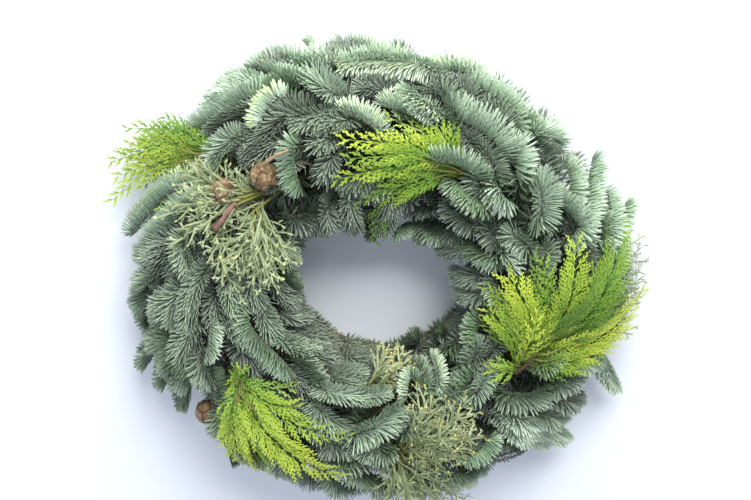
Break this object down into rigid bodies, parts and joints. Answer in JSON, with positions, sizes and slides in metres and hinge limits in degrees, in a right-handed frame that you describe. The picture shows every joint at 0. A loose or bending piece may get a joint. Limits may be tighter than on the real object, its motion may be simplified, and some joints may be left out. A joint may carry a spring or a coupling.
{
  "type": "fir wreath",
  "caption": "Round evergreen wreath of fir sprigs with golden and grey cypress, cones and dry twigs, bound with wire on a straw ring.",
  "frame": {"origin": "middle of the wreath's bounding box, on the surface it lies on", "axes": "+Z out of the wreath's face, away from the flat underside of the straw ring; +Y towards its top edge; +X to the right, seen from the front"},
  "size_m": [0.5044, 0.4756, 0.1353],
  "materials": {
    "straw": "bundled dry straw, matt with a few glossy stalks",
    "wire": "dark green lacquered wire, half gloss",
    "fir": "waxy blue-green needles, paler below, half matt",
    "low_fir": "waxy darker blue-green needles, half matt",
    "golden_cypress": "yellow-green scale leaves, soft gloss",
    "grey_cypress": "grey-green scale leaves with yellow pollen cones, matt",
    "cone": "brown woody scales, half gloss on the worn faces",
    "dry_twig": "dry bark, matt"
  },
  "bodies": {
    "root": {"straw_ring": "straw", "binding_wire": "wire", "cone_01": "cone", "cone_02": "cone", "cone_03": "cone", "dry_twig_01": "dry_twig", "dry_twig_02": "dry_twig", "golden_cypress_01": "golden_cypress", "golden_cypress_02": "golden_cypress", "golden_cypress_03": "golden_cypress", "golden_cypress_04": "golden_cypress", "grey_cypress_01": "grey_cypress", "grey_cypress_02": "grey_cypress", "grey_cypress_03": "grey_cypress", "grey_cypress_04": "grey_cypress", "fir_sprig_01": "fir", "fir_sprig_02": "fir", "fir_sprig_03": "fir", "fir_sprig_04": "fir", "fir_sprig_05": "fir", "fir_sprig_06": "fir", "fir_sprig_07": "fir", "fir_sprig_08": "fir", "fir_sprig_09": "fir", "fir_sprig_10": "fir", "fir_sprig_11": "fir", "fir_sprig_12": "fir", "fir_sprig_13": "fir", "fir_sprig_14": "fir", "fir_sprig_15": "fir", "fir_sprig_16": "fir", "fir_sprig_17": "fir", "fir_sprig_18": "fir", "fir_sprig_19": "fir", "fir_sprig_20": "fir", "fir_sprig_21": "fir", "fir_sprig_22": "fir", "fir_sprig_23": "fir", "fir_sprig_24": "fir", "fir_sprig_25": "fir", "fir_sprig_26": "fir", "fir_sprig_27": "fir", "fir_sprig_28": "fir", "fir_sprig_29": "fir", "fir_sprig_30": "fir", "fir_sprig_31": "fir", "fir_sprig_32": "fir", "fir_sprig_33": "fir", "fir_sprig_34": "fir", "fir_sprig_35": "fir", "fir_sprig_36": "fir", "fir_sprig_37": "fir", "fir_sprig_38": "fir", "fir_sprig_39": "fir", "low_fir_sprig_01": "low_fir", "low_fir_sprig_02": "low_fir", "low_fir_sprig_03": "low_fir", "low_fir_sprig_04": "low_fir", "low_fir_sprig_05": "low_fir", "low_fir_sprig_06": "low_fir"}
  },
  "joints": []
}
